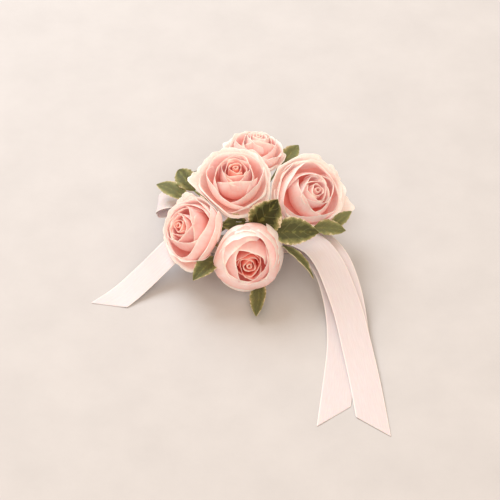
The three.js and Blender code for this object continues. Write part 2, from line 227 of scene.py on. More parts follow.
def green_stalk():
    """Rose stem and sepal: matt soft green with a pinkish cast where it ages."""
    material, tree, shader = new_material(
        "green_stalk", Roughness=0.6, Subsurface_Weight=0.05, Subsurface_Scale=0.001)
    place = add_node(tree, "TexCoord").outputs["Object"]
    blotch = add_node(tree, "TexNoise", {"Vector": place, "Scale": 400.0, "Detail": 4.0})
    colour = set_ramp(add_node(tree, "ValToRGB", {"Fac": blotch.outputs["Fac"]}),
                      [(0.3, "#66783e"), (0.55, "#86955a"), (0.75, "#a99a6c")])
    tree.links.new(colour.outputs["Color"], shader.inputs["Base Color"])
    bump(tree, shader, blotch.outputs["Fac"], 0.3, 0.0002)
    return material


def satin_ribbon():
    """Polyester satin: smooth and softly shining, floats running along it, with a firmer woven edge."""
    material, tree, shader = new_material(
        "satin_ribbon", Roughness=0.42, IOR=1.5, Sheen_Weight=0.1, Sheen_Roughness=0.35,
        Specular_IOR_Level=0.38, Anisotropic=0.4, Subsurface_Weight=0.08, Subsurface_Scale=0.001)
    uv = add_node(tree, "UVMap", uv_map="cloth").outputs["UV"]  # millimetres across and along
    split = add_node(tree, "SeparateXYZ", {"Vector": uv})
    # real floats are 0.1 mm apart: drawn 0.45 mm apart so that they show
    warp = add_node(tree, "Mapping", {"Vector": uv, "Scale": (2.2, 0.12, 1.0)})
    floats = add_node(tree, "TexNoise", {"Vector": warp.outputs["Vector"], "Scale": 1.0, "Detail": 3.0})
    weft = add_node(tree, "TexWave", {"Vector": uv, "Scale": 0.55, "Distortion": 0.6, "Detail": 1.0},
                    wave_type="BANDS", bands_direction="Y")
    colour = set_ramp(add_node(tree, "ValToRGB", {"Fac": floats.outputs["Fac"]}),
                      [(0.3, "#e1d8da"), (0.5, "#e4dcdf"), (0.7, "#e8e1e3")])
    edge = add_node(tree, "Math", {0: split.outputs["X"]}, operation="ABSOLUTE")
    selvedge = add_node(tree, "MapRange", {"Value": edge.outputs[0], "From Min": 7.0, "From Max": 7.25,
                                           "To Min": 0.0, "To Max": 0.6})
    trimmed = mixed(tree, selvedge.outputs["Result"], colour.outputs["Color"], srgb("#fff6f3"))
    tree.links.new(trimmed, shader.inputs["Base Color"])
    height = add_node(tree, "Math", {0: floats.outputs["Fac"], 1: weft.outputs["Fac"]}, operation="MULTIPLY")
    bump(tree, shader, height.outputs[0], 0.18, 0.00015)
    return material


def elastic_webbing():
    """Covered elastic: matt, with cords running lengthwise and fine puckers across."""
    material, tree, shader = new_material("elastic_webbing", Roughness=0.8, Sheen_Weight=0.3, Sheen_Roughness=0.5)
    uv = add_node(tree, "UVMap", uv_map="cloth").outputs["UV"]
    pucker = add_node(tree, "TexWave", {"Vector": uv, "Scale": 0.4, "Distortion": 1.5, "Detail": 2.0},
                      wave_type="BANDS", bands_direction="Y")
    colour = set_ramp(add_node(tree, "ValToRGB", {"Fac": pucker.outputs["Fac"]}),
                      [(0.0, "#e6d2ca"), (1.0, "#f5e7e1")])
    tree.links.new(colour.outputs["Color"], shader.inputs["Base Color"])
    bump(tree, shader, pucker.outputs["Fac"], 0.5, 0.0003)
    return material


def wool_felt():
    """Craft felt: matt, matted fibres with a slight fuzz."""
    material, tree, shader = new_material("wool_felt", Roughness=0.95, Sheen_Weight=0.5, Sheen_Roughness=0.6)
    place = add_node(tree, "TexCoord").outputs["Object"]
    fibre = add_node(tree, "TexNoise", {"Vector": place, "Scale": 1800.0, "Detail": 6.0, "Distortion": 2.0})
    colour = set_ramp(add_node(tree, "ValToRGB", {"Fac": fibre.outputs["Fac"]}),
                      [(0.3, "#e2cfc6"), (0.7, "#f6e8e1")])
    tree.links.new(colour.outputs["Color"], shader.inputs["Base Color"])
    bump(tree, shader, fibre.outputs["Fac"], 0.6, 0.0004)
    return material


def floral_tape():
    """Waxed crepe paper tape: matt moss green, finely crinkled."""
    material, tree, shader = new_material("floral_tape", Roughness=0.7)
    place = add_node(tree, "TexCoord").outputs["Object"]
    crinkle = add_node(tree, "TexNoise", {"Vector": place, "Scale": 900.0, "Detail": 5.0, "Distortion": 1.0})
    colour = set_ramp(add_node(tree, "ValToRGB", {"Fac": crinkle.outputs["Fac"]}),
                      [(0.3, "#5b6a37"), (0.7, "#7f8d52")])
    tree.links.new(colour.outputs["Color"], shader.inputs["Base Color"])
    bump(tree, shader, crinkle.outputs["Fac"], 0.6, 0.0004)
    return material


def plated_steel():
    """Nickel-plated spring steel: fine brushed lines along the clip."""
    material, tree, shader = new_material("plated_steel", Metallic=1.0, Roughness=0.32)
    place = add_node(tree, "TexCoord").outputs["Object"]
    lines = add_node(tree, "Mapping", {"Vector": place, "Scale": (60.0, 2500.0, 2500.0)})
    brushed = add_node(tree, "TexNoise", {"Vector": lines.outputs["Vector"], "Scale": 1.0, "Detail": 3.0})
    colour = set_ramp(add_node(tree, "ValToRGB", {"Fac": brushed.outputs["Fac"]}),
                      [(0.3, "#b9b6b1"), (0.7, "#d2cfca")])
    tree.links.new(colour.outputs["Color"], shader.inputs["Base Color"])
    bump(tree, shader, brushed.outputs["Fac"], 0.2, 0.0001)
    return material


def plaster_table():
    """Warm pale plaster board: very matt, with a faint mottle."""
    material, tree, shader = new_material("plaster_table", Roughness=0.9, Specular_IOR_Level=0.2)
    place = add_node(tree, "TexCoord").outputs["Object"]
    mottle = add_node(tree, "TexNoise", {"Vector": place, "Scale": 30.0, "Detail": 8.0, "Roughness": 0.6})
    colour = set_ramp(add_node(tree, "ValToRGB", {"Fac": mottle.outputs["Fac"]}),
                      [(0.3, "#cecfd0"), (0.7, "#d5d6d7")])
    tree.links.new(colour.outputs["Color"], shader.inputs["Base Color"])
    grain = add_node(tree, "TexNoise", {"Vector": place, "Scale": 700.0, "Detail": 4.0})
    bump(tree, shader, grain.outputs["Fac"], 0.15, 0.0004)
    return material


# ---------------------------------------------------------------- mesh helpers
def finish_piece(name, mesh_maker, material, nodes, smooth=True):
    """Makes the object of a bmesh, which rides on the model and stands for its CAD nodes."""
    mesh = bpy.data.meshes.new(name)
    mesh_maker.normal_update()
    mesh_maker.to_mesh(mesh)
    mesh_maker.free()
    mesh.materials.append(material)
    for face in mesh.polygons:
        face.use_smooth = smooth
    piece = bpy.data.objects.new(name, mesh)
    bpy.context.scene.collection.objects.link(piece)
    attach(piece, "root")
    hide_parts(*nodes)
    return piece


def thicken(piece, thickness):
    wall = piece.modifiers.new("wall", "SOLIDIFY")
    wall.thickness = thickness
    wall.offset = 0.0
    return piece


def subdivide(piece):
    smooth = piece.modifiers.new("smooth", "SUBSURF")
    smooth.levels = smooth.render_levels = 1
    return piece


def grid_into(shell, columns, rows, place, uv_name, uv_of, depth=0.0):
    """Adds a grid to shell. place(u, v) gives each point, with u and v from 0 to 1; uv_of gives its UV."""
    uv_layer = shell.loops.layers.uv.get(uv_name) or shell.loops.layers.uv.new(uv_name)
    layer = shell.verts.layers.float.get("depth") or shell.verts.layers.float.new("depth")
    made = bmesh.ops.create_grid(shell, x_segments=columns, y_segments=rows, size=0.5)
    verts = made["verts"]
    where = {v: (min(1, max(0, v.co.x + 0.5)), min(1, max(0, v.co.y + 0.5))) for v in verts}
    for v in verts:
        v[layer] = depth
    for face in {f for v in verts for f in v.link_faces}:
        for loop in face.loops:
            loop[uv_layer].uv = uv_of(*where[loop.vert])
    for v in verts:
        v.co = place(*where[v])


def eased(points, t):
    """A smooth curve through points, each a tuple, at t from 0 to 1."""
    spans = len(points) - 1
    i = min(int(t * spans), spans - 1)
    f = t * spans - i
    p = [Vector(points[min(max(j, 0), spans)]) for j in (i - 1, i, i + 1, i + 2)]
    return 0.5 * (2 * p[1] + (p[2] - p[0]) * f + (2 * p[0] - 5 * p[1] + 4 * p[2] - p[3]) * f * f
                  + (3 * p[1] - p[0] - 3 * p[2] + p[3]) * f ** 3)


# ---------------------------------------------------------------- roses
# Where each calyx starts, the way the rose faces, its radius and its depth, as in the imported model, but the
# radius of the back rose is 1 mm less.
# turn: where its first petal stands, in degrees
# lift, lift_side: how far its open petals rise, and on which side
# closed: how far its outer petals still fold in
# bulge, cone: how full its bud is, and how far the bud narrows
# shift, sink: how far its heart stands off its axis, and how far below the bud's rim
# heart, blush: how deep the colour of its heart is, and how pink its open petals are; both are partly the rose's
# own colour and partly painted shade
ROSES = {
    "top": dict(base=(-2.3, 2.5, 28), faces=(0, -0.17, 0.985), radius=20, depth=26,
                turn=270, lift=5.2, lift_side=95, closed=0, bulge=1.0, cone=0.1,
                shift=(0.3, 1.2), sink=0, heart=1.0, blush=0.03),
    "right": dict(base=(30.2, 10.4, 19.8), faces=(0.35, -0.5, 0.79), radius=20, depth=25,
                  turn=222, lift=3.0, lift_side=60, closed=0.1, bulge=1.12, cone=0.25,
                  shift=(1.0, 0.8), sink=0, heart=0.7, blush=0.05),
    "left": dict(base=(-14.4, -13.9, 18), faces=(-0.62, -0.36, 0.7), radius=19.5, depth=25,
                 turn=5, lift=2.0, lift_side=70, closed=0.15, bulge=1.08, cone=0.25,
                 shift=(-0.8, 0), sink=0, heart=1.0, blush=0.15),
    "front": dict(base=(1.4, -20.8, 15.4), faces=(0.14, -0.83, 0.54), radius=18.5, depth=25.5,
                  turn=78, lift=1.0, lift_side=80, closed=0.9, bulge=1.18, cone=0.6,
                  shift=(0.6, -3.8), sink=3.2, heart=1.5, blush=0.12),
    "back": dict(base=(7.8, 29.6, 22.4), faces=(0.08, 0.22, 0.97), radius=16, depth=23,
                 turn=280, lift=2.0, lift_side=150, closed=0.1, bulge=1.0, cone=0.1,
                 shift=(0, 0), sink=0.5, heart=0.6, blush=0.1),
}
UNIT_RADIUS, UNIT_DEPTH = 20, 26  # of the rose that the petal profiles are drawn in

# Petals from the middle out.
# count, reach: how many petals, and how far round each reaches to either side, in degrees
# profile: radius and height from claw to rim
# turn: where the first petal stands from the rose's own turn, in degrees
# flat: how far a petal is flatter than its ring
# off_axis: how far the petals follow the heart off the axis
# depth: how pink they are, partly their own colour and partly painted shade deep in the rose
# roll, drop: how far the rim rolls back, in radians, and how far it falls at its sides
# wave, open: how ruffled and how open they are
WHORLS = {
    "heart": [
        dict(count=2, reach=150, profile=[(0.4, 12), (1.6, 17), (2.0, 22), (1.4, 25.6), (0.7, 27.7)], turn=20,
             flat=0, off_axis=1, depth=1, roll=0.3, drop=0.06, wave=0.1, open=0),
        dict(count=3, reach=105, profile=[(1.2, 11), (3.0, 16), (3.7, 21), (3.1, 25), (2.3, 27.5)], turn=75,
             flat=0.35, off_axis=1, depth=0.9, roll=0.4, drop=0.1, wave=0.15, open=0),
        dict(count=3, reach=92, profile=[(2, 10), (5.0, 15), (5.8, 20.5), (5.2, 24.4), (4.2, 27)], turn=15,
             flat=0.5, off_axis=1, depth=0.72, roll=0.6, drop=0.14, wave=0.25, open=0),
        dict(count=3, reach=88, profile=[(2.4, 9), (6.3, 13.4), (7.5, 18.8), (6.9, 23.2), (5.8, 26.4)], turn=52,
             flat=0.5, off_axis=1, depth=0.62, roll=0.6, drop=0.2, wave=0.3, open=0),
    ],
    "inner_petals": [
        dict(count=3, reach=86, profile=[(3, 8.5), (8.2, 12), (9.8, 17.6), (9, 22.6), (7.2, 26)], turn=0,
             flat=0.5, off_axis=0.75, depth=0.5, roll=0.7, drop=0.34, wave=0.35, open=0.1),
        dict(count=3, reach=84, profile=[(3.4, 7.6), (10.4, 10.6), (12.9, 15.6), (13, 20), (12.8, 22.8)], turn=60,
             flat=0.5, off_axis=0.4, depth=0.36, roll=1.2, drop=0.42, wave=0.5, open=0.45),
    ],
    "outer_petals": [
        dict(count=4, reach=64, profile=[(3.6, 6.6), (12, 8.6), (15.6, 13), (16.4, 17.6), (17.8, 20.4)], turn=38,
             flat=0.3, off_axis=0, depth=0.14, roll=1.9, drop=0.42, wave=1.2, open=0.8),
        dict(count=5, reach=56, profile=[(4, 6), (12.6, 7.4), (17.2, 10.4), (19, 13.6), (21.4, 15)], turn=3,
             outermost=True, flat=0.2, off_axis=0, depth=0.0, roll=2.2, drop=0.24, wave=1.5, open=1.0),
    ],
}
# Single petals that stand out from a rose: where, how far out, how high and how far round each reaches.
STRAYS = {
    "top": [(188, 26, 18, 36), (263, 24.5, 10.5, 42)],
    "right": [(352, 26, 15, 26), (255, 23, 12, 40)],
    "left": [(95, 22, 16, 34)],
    "front": [(266, 25, 12, 52)],
}
HEART_TOP = 27  # about how high the heart stands in its profiles
MIDDLE_AT = 0.75  # where a rose's middle is, as a share of its depth
ROLL_FROM = 0.76  # where along a petal its rim starts to roll
LEAST_ROLL = 0.05  # radians, so that the rim's arc never becomes a straight line
ROOM = 1.2 * MM  # how far an outermost petal may stand past the plane between two roses


def rose_matrix(rose):
    turn = Vector((0, 0, 1)).rotation_difference(Vector(rose["faces"]))
    place = Matrix.Translation(Vector(rose["base"]) * MM) @ turn.to_matrix().to_4x4()
    across, deep = rose["radius"] / UNIT_RADIUS * MM, rose["depth"] / UNIT_DEPTH * MM
    return place @ Matrix.Diagonal((across, across, deep, 1))


def rose_middle(rose):
    return (Vector(rose["base"]) + Vector(rose["faces"]).normalized() * MIDDLE_AT * rose["depth"]) * MM


def neighbour_planes(key):
    """The planes between a rose and each of the others, as a point and the direction towards that other."""
    here = rose_middle(ROSES[key])
    planes = []
    for other, rose in ROSES.items():
        if other != key:
            toward = rose_middle(rose) - here
            share = ROSES[key]["radius"] / (ROSES[key]["radius"] + rose["radius"])
            planes.append((here + toward * share, toward.normalized()))
    return planes


def kept_back(point, planes, softness=1.6 * MM):
    """A point pressed back, ever more firmly, as it nears a neighbour's plane."""
    for spot, toward in planes:
        past = (point - spot).dot(toward) / softness
        if past > -6:  # further off than this it isn't pressed at all
            pressed = -math.log1p(math.exp(-past)) if past < 30 else 0
            point = point + toward * (pressed - past) * softness
    return point


def rolled(profile, v, roll):
    """Radius and height at v along a petal whose rim rolls back through an angle."""
    if v <= ROLL_FROM:
        return eased(profile, v)
    start = eased(profile, ROLL_FROM)
    ahead = (start - eased(profile, ROLL_FROM - 0.04)).normalized()
    out = Vector((ahead.y, -ahead.x))
    length = (eased(profile, 1) - start).length
    angle = max(roll, LEAST_ROLL)
    part = (v - ROLL_FROM) / (1 - ROLL_FROM)
    return start + (ahead * math.sin(angle * part) + out * (1 - math.cos(angle * part))) * length / angle


def petal_point(whorl, rose, middle, tuck, seed, u, v):
    """A point of a petal, in the rose's own frame. u runs across it and v from its claw to its rim."""
    across = 2 * u - 1
    claw = 0.62 + 0.38 * min(1, v * 1.7) ** 0.8  # narrower where it joins
    shoulder = 1 - whorl["drop"] * abs(across) ** 2.1  # the rim is lower at its sides
    closed = rose["closed"] * whorl["open"]
    # the rim rolls back most at its two shoulders, which leaves a slight point in the middle
    roll = whorl["roll"] * (0.8 + 0.4 * math.cos(math.pi * (abs(across) - 0.55) / 0.55)) * (1 - 0.6 * closed)
    radius, height = rolled(whorl["profile"], v * shoulder, roll)
    folded_in = 0.14 * math.sin(math.pi * min(v / 0.85, 1)) - 0.26 * max(0, (v - 0.5) / 0.5) ** 1.5
    radius *= 1 + closed * folded_in
    height += 4 * closed * v ** 2
    if 0 < whorl["off_axis"] < 1:  # only the bud narrows to a cone
        narrower = 0.25 * math.sin(math.pi * min(v / 0.85, 1)) - 0.35 * max(0, (v - 0.5) / 0.5)
        radius *= 1 + rose["cone"] * narrower
    swing = math.radians(whorl["reach"]) * across * claw * (1 - 0.12 * v ** 6)
    angle = middle + swing
    # a petal is flatter than the ring it stands in, so three of them make a rounded triangle
    radius *= 1 + whorl["flat"] * (1 / math.cos(min(abs(swing), 0.85)) - 1.08) * v
    # one side tucks under its neighbour and the other lies over the next
    radius += tuck * across * (0.25 + 0.75 * v)
    # a gentle ruffle, and a finer one along the rim itself
    ripple = noise.noise(Vector((across * 1.9 + seed, v * 1.3, seed * 0.37)))
    crimp = noise.noise(Vector((across * 7 + seed, 9.3, seed * 0.51)))
    wave = whorl["wave"] * (1 - 0.7 * closed)
    radius += wave * (1.7 * ripple * v ** 2 + 1.0 * crimp * v ** 8)
    height += wave * (noise.noise(Vector((across * 2.4 - seed, 4.1, seed * 0.73))) * v ** 3
                      + 0.9 * crimp * v ** 8)
    rise = rose["lift"] * whorl["open"] * math.cos(angle - math.radians(rose["lift_side"])) * v ** 2
    off_axis = whorl["off_axis"] * v
    return Vector((radius * math.cos(angle) + rose["shift"][0] * off_axis,
                   radius * math.sin(angle) + rose["shift"][1] * off_axis, height + rise))


def rose_part(key, part, material):
    rose = ROSES[key]
    place = rose_matrix(rose)
    planes = neighbour_planes(key)
    chance = random.Random(f"{key} {part}")
    shell = bmesh.new()
    petals = []
    for whorl in WHORLS[part]:
        for i in range(whorl["count"]):
            sized = dict(whorl)
            taller = chance.uniform(-0.5, 0.5) - (rose["sink"] if part == "heart" else 0)
            wider = 1 + 0.05 * (i - 0.5 * whorl["count"] + 0.5)  # each stands a little outside the last
            if part == "inner_petals":
                wider *= rose["bulge"]
            sized["profile"] = [(r * wider, z + taller * z / HEART_TOP) for r, z in whorl["profile"]]
            middle = rose["turn"] + whorl["turn"] + 360 * (i + chance.uniform(-0.07, 0.07)) / whorl["count"]
            petals.append((sized, middle))
    if part == "outer_petals":
        for middle, reach_out, height, reach in STRAYS.get(key, []):
            sized = dict(WHORLS[part][-1], reach=reach, drop=0.3, roll=1.4, outermost=False)
            sized["profile"] = [(4, 5.6), (12.6, 6.8), (17.6, 0.6 * height), (0.87 * reach_out, 0.86 * height),
                                (reach_out, height)]
            petals.append((sized, middle))
    for sized, middle in petals:
        tuck = 0.8 if sized["profile"][-1][0] > 4 else 0.35
        seed = chance.uniform(0, 100)

        def spot(u, v):
            return kept_back(place @ petal_point(sized, rose, math.radians(middle), tuck, seed, u, v), planes)

        # no room for an outermost petal that would stand well inside the next rose
        tip = place @ petal_point(sized, rose, math.radians(middle), tuck, seed, 0.5, 0.9)
        if sized.get("outermost") and any((tip - at).dot(toward) > ROOM for at, toward in planes):
            continue
        # how pink and coral the petals are drawn: partly their own colour and partly painted shade
        depth = sized["depth"] * rose["heart"] if part == "heart" else sized["depth"] + rose["blush"]
        grid_into(shell, 20, 14, spot, "petal", lambda u, v: (u, v), depth=depth)
    node = f"rose_{key}_{part}"
    piece = finish_piece(f"{node}_bloom", shell, material, [node])
    subdivide(thicken(piece, PETAL_WALL))


# ---------------------------------------------------------------- leaves
# The stalk end, the tip, the way the upper side faces, the width, the arch and the keel. They are those of
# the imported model, but leaf_middle is wider with a deeper keel, and leaf_front_left and leaf_right_small
# stand clear of petals.
LEAVES = {
    "leaf_middle": ((6.5, -21, 32), (19.5, -13.5, 45), (0.25, -0.85, 0.5), 19, 2, 0.28),
    "leaf_middle_right": ((16, -22.5, 29.5), (40.6, -23, 30.5), (0.1, -0.5, 0.85), 15, 2.5, 0.2),
    "leaf_under_right": ((20, -26, 25), (37.5, -43.5, 17.5), (0.62, 0.1, 0.77), 8, 2, 0.35),
    "leaf_under_front": ((10, -34, 8), (8.5, -57.5, 4.5), (-0.3, -0.5, 0.8), 9, -1.5, 0.3),
    "leaf_front_left": ((-11, -31, 20.3), (-23.6, -45.5, 18.3), (-0.35, -0.5, 0.8), 11, 1.5, 0.25),
    "leaf_left": ((-27, 9, 22.5), (-44.5, 22, 22), (0, -0.2, 1), 10, 2.5, 0.25),
    "leaf_left_back": ((-24, 14, 25), (-33, 29, 26), (-0.2, -0.4, 0.9), 11, 2, 0.25),
    "leaf_back_right": ((20, 29, 27), (31.5, 45.5, 29), (0.2, -0.4, 0.9), 9, 2, 0.25),
    "leaf_right": ((38, -13.5, 24.2), (55, -13.5, 22.4), (0.1, -0.3, 0.95), 9.5, 1.5, 0.2),
    "leaf_right_small": ((47.5, -6, 18), (58.5, 0, 23.5), (0.1, -0.5, 0.85), 6.5, 1, 0.2),
    "leaf_inner": ((4, -16, 30), (-9, -20, 33), (0, -0.6, 0.8), 11, 1, 0.1),
    "leaf_back_left": ((-13, 18, 21), (-26, 37, 17), (-0.2, 0.2, 0.95), 12, 3, 0.25),
    "leaf_back": ((3, 37, 17), (-3, 58, 13), (0, 0.3, 0.95), 12, 3, 0.25),
    "leaf_far_right": ((34, 26, 21), (50, 40, 17), (0.25, 0.2, 0.95), 12, 3, 0.25),
}
# Painted light: how far each leaf is drawn lighter and hazier, for the light that falls on it, from 0 to 1.
PAINTED_LEAF_LIGHT = {
    "leaf_middle": 0.0, "leaf_left": 0.3, "leaf_left_back": 0.2, "leaf_back_right": 0.4, "leaf_right": 0.35,
    "leaf_right_small": 0.5, "leaf_under_front": 0.3, "leaf_under_right": 0.25, "leaf_front_left": 0.2,
}
OTHER_LEAVES_PAINTED_LIGHT = 0.1  # of the other leaves
HUB = Vector((1, 1, 20))  # the middle of the taped binding


def tube_into(shell, path, radius_at, sides):
    """Adds a round closed tube along path. radius_at(share) gives its radius at a share of its length."""
    rings = []
    for i, point in enumerate(path):
        ahead = (path[min(i + 1, len(path) - 1)] - path[max(i - 1, 0)]).normalized()
        turn = ahead.to_track_quat("Z", "Y").to_matrix().to_4x4()
        size = radius_at(i / (len(path) - 1))
        made = bmesh.ops.create_circle(shell, cap_ends=False, segments=sides, radius=size,
                                       matrix=Matrix.Translation(point) @ turn)
        rings.append(made["verts"])
    for a, b in zip(rings, rings[1:]):
        edges = {e for ring in (a, b) for v in ring for e in v.link_edges
                 if e.other_vert(v) in ring and len(e.link_faces) < 2}
        bmesh.ops.bridge_loops(shell, edges=list(edges))
    for ring in (rings[0], rings[-1]):
        bmesh.ops.contextual_create(shell, geom=ring)
    bmesh.ops.recalc_face_normals(shell, faces=shell.faces[:])


def leaf(name, material):
    base, tip, up, width, arch, keel = LEAVES[name]
    base, tip, up = Vector(base), Vector(tip), Vector(up)
    along = (tip - base).normalized()
    length = (tip - base).length
    side = up.cross(along).normalized()
    normal = along.cross(side)
    chance = random.Random(name)
    seed = chance.uniform(0, 100)

    def place(u, v):
        across = 2 * u - 1
        half = max(0.35, width / 2 * math.sin(math.pi * min(1, v) ** 0.85) ** 0.8) if v < 1 else 0.05
        # small teeth, and a margin that waves up and down
        teeth = 1 + 0.06 * abs(across) ** 3 * math.sin(v * 2 * math.pi * length / 2.4)
        reach = across * half * teeth
        height = arch * 4 * v * (1 - v) + keel * abs(reach)
        height += 0.9 * across ** 2 * noise.noise(Vector((v * 4 + seed, across * 0.8, seed)))
        height += 0.25 * abs(across) * math.sin(v * 26 - abs(across) * 4) * (1 - v)
        return (base + along * (v * length) + side * reach + normal * height) * MM

    shell = bmesh.new()
    grid_into(shell, 16, 30, place, "leaf", lambda u, v: (abs(2 * u - 1), v),
              depth=PAINTED_LEAF_LIGHT.get(name, OTHER_LEAVES_PAINTED_LIGHT))
    piece = finish_piece(f"{name}_blade", shell, material, [name])
    subdivide(thicken(piece, LEAF_WALL))


# ---------------------------------------------------------------- ribbons
RIBBON_WIDTH = 15.5
ROW = 1.6  # from one row of the satin's mesh to the next
ON_TABLE = 0.16  # the lowest that the middle of the satin lies
# The length that each strip's slanting cut takes off one edge, and its middle line from the binding outwards,
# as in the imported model.
RIBBONS = {
    "ribbon_tail_left": (-12, [
        (-5, -1, 15.4), (-14, -3, 15.4), (-24, -8, 14.8), (-32, -13.5, 12.8), (-40, -21, 9.6),
        (-48.5, -28.3, 5), (-57.5, -36.7, 1.5), (-65, -43.6, 0.15), (-71.8, -49.8, 0.15)]),
    "ribbon_loop_left": (0, [
        (-5, 2, 16.7), (-11, 4.8, 17.1), (-17, 8, 18.6), (-24, 11.5, 19.8), (-33, 14.8, 18.9),
        (-40.5, 16.4, 16), (-44, 16.9, 12.6), (-43, 16.9, 10.2), (-38, 16.2, 10.6), (-33, 15, 13.2),
        (-28, 13.2, 15), (-22, 10.6, 15.9), (-14, 6.5, 16.1), (-5, 2, 16.05)]),
    "ribbon_tail_under": (-15, [
        (5, -1, 15.4), (14, -4.5, 15.6), (25, -13, 16.6), (33, -20, 17.4), (40, -26, 16.6), (46, -34, 12.8),
        (50, -46, 7), (51.8, -60, 2.4), (51.4, -78, 0.5), (49, -98, 0.15), (45.1, -127.7, 0.15)]),
    "ribbon_tail_short": (10, [
        (5, 0, 16.05), (14, -3, 16.6), (26, -9, 17.8), (36, -15, 19.3), (43, -20, 19.2), (49.3, -28.5, 16.4),
        (54.6, -43, 9.8), (57, -58, 4.6), (58, -72, 2)]),
    "ribbon_tail_right": (14, [
        (5, -1, 16.7), (14, -5.5, 17.6), (25, -14, 20.4), (33, -19.8, 22.6), (39.5, -25, 22.2),
        (45.8, -32.8, 18.4), (51, -43.6, 12.2), (55.4, -57, 6.7), (58.9, -76, 3), (62.4, -101, 1.2),
        (65.8, -133.7, 0.15)]),
}


def smooth_route(points, per_span=16):
    """A centripetal curve through the points, as a dense list."""
    points = [Vector(p) for p in points]
    first, last = 2 * points[0] - points[1], 2 * points[-1] - points[-2]
    points = [first, *points, last]
    route = []
    for i in range(1, len(points) - 2):
        p0, p1, p2, p3 = points[i - 1:i + 3]
        t0 = 0
        t1 = t0 + (p1 - p0).length ** 0.5
        t2 = t1 + (p2 - p1).length ** 0.5
        t3 = t2 + (p3 - p2).length ** 0.5
        for step in range(per_span):
            t = t1 + (t2 - t1) * step / per_span
            a1 = (t1 - t) / (t1 - t0) * p0 + (t - t0) / (t1 - t0) * p1
            a2 = (t2 - t) / (t2 - t1) * p1 + (t - t1) / (t2 - t1) * p2
            a3 = (t3 - t) / (t3 - t2) * p2 + (t - t2) / (t3 - t2) * p3
            b1 = (t2 - t) / (t2 - t0) * a1 + (t - t0) / (t2 - t0) * a2
            b2 = (t3 - t) / (t3 - t1) * a2 + (t - t1) / (t3 - t1) * a3
            route.append((t2 - t) / (t2 - t1) * b1 + (t - t1) / (t2 - t1) * b2)
    route.append(points[-2])
    return route


class Route:
    """A curve measured along its length."""

    def __init__(self, points):
        self.points = smooth_route(points)
        self.lengths = [0.0]
        for a, b in zip(self.points, self.points[1:]):
            self.lengths.append(self.lengths[-1] + (b - a).length)
        self.length = self.lengths[-1]

    def at(self, share):
        """The place and direction at a share of the length."""
        target = min(max(share, 0), 1) * self.length
        i = next((n for n in range(1, len(self.lengths)) if self.lengths[n] >= target), len(self.lengths) - 1)
        span = self.lengths[i] - self.lengths[i - 1]
        f = (target - self.lengths[i - 1]) / span if span else 0
        place = self.points[i - 1].lerp(self.points[i], f)
        before, after = self.points[max(i - 2, 0)], self.points[min(i + 1, len(self.points) - 1)]
        return place, (after - before).normalized()


def level_side(route, share):
    up = Vector((0, 0, 1))
    first = up.cross(route.at(0)[1]).normalized()
    side = up.cross(route.at(share)[1])
    if side.length < 0.15:  # the strip runs nearly straight up or down here
        return first
    side.normalize()
    return -side if side.dot(first) < 0 else side


def ribbon(name, material):
    cut, points = RIBBONS[name]
    route = Route(points)
    chance = random.Random(name)
    seed = chance.uniform(0, 50)

    def place(u, v):
        across = RIBBON_WIDTH * (u - 0.5)
        shorter = abs(cut) / route.length * (0.5 - math.copysign(1, cut) * across / RIBBON_WIDTH)
        share = v * (1 - shorter)
        point, ahead = route.at(share)
        side = level_side(route, share)
        normal = side.cross(ahead)
        free = min(1, share * 4)
        soft = 0.35 * noise.noise(Vector((share * route.length / 26 + seed, across / 16, 0))) * free
        soft = max(soft, -0.1) if point.z < 2 else soft
        spot = point + side * across + normal * soft
        spot.z = max(spot.z, ON_TABLE)
        return spot * MM

    shell = bmesh.new()
    rows = int(route.length / ROW)
    grid_into(shell, 12, rows, place, "cloth", lambda u, v: (RIBBON_WIDTH * (u - 0.5), v * route.length))
    piece = finish_piece(f"{name}_satin", shell, material, [name])
    thicken(piece, RIBBON_WALL)
    subdivide(piece)


# ---------------------------------------------------------------- wristlet, clip, pad and binding
BAND_WIDTH = 16


def wristlet(material):
    low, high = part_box("wristlet_band")
    width = high[0] - low[0]
    tall = high[2] - low[2]
    band = 1.4 * MM
    radius = tall / 2 - band / 2
    straight = width / 2 - tall / 2
    total = 4 * straight + 2 * math.pi * radius
    cords = 11

    def place(u, v):
        s = v * total
        if s < straight * 2:
            x, z, n = -straight + s, -radius, Vector((0, 0, -1))
        elif s < straight * 2 + math.pi * radius:
            a = (s - straight * 2) / radius - math.pi / 2
            x, z, n = straight + radius * math.cos(a), radius * math.sin(a), Vector((math.cos(a), 0, math.sin(a)))
        elif s < straight * 4 + math.pi * radius:
            x, z, n = straight - (s - straight * 2 - math.pi * radius), radius, Vector((0, 0, 1))
        else:
            a = (s - straight * 4 - math.pi * radius) / radius + math.pi / 2
            x, z, n = -straight + radius * math.cos(a), radius * math.sin(a), Vector((math.cos(a), 0, math.sin(a)))
        rib = 0.12 * MM * (math.cos(2 * math.pi * cords * u) - 1)
        pucker = 0.05 * MM * math.sin(2 * math.pi * s / (1.9 * MM))
        y = low[1] + (high[1] - low[1]) * u + 0.15 * MM * math.sin(2 * math.pi * s / (5 * MM))
        y = min(max(y, low[1]), high[1])
        return Vector((x, y, z + tall / 2)) + n * (rib + pucker)

    shell = bmesh.new()
    grid_into(shell, cords * 4, 260, place, "cloth", lambda u, v: (u * BAND_WIDTH, v * total / MM))
    bmesh.ops.remove_doubles(shell, verts=shell.verts[:], dist=0.02 * MM)
    bmesh.ops.recalc_face_normals(shell, faces=shell.faces[:])
    piece = finish_piece("wristlet_elastic", shell, material, ["wristlet_band"])
    thicken(piece, band * 0.75)


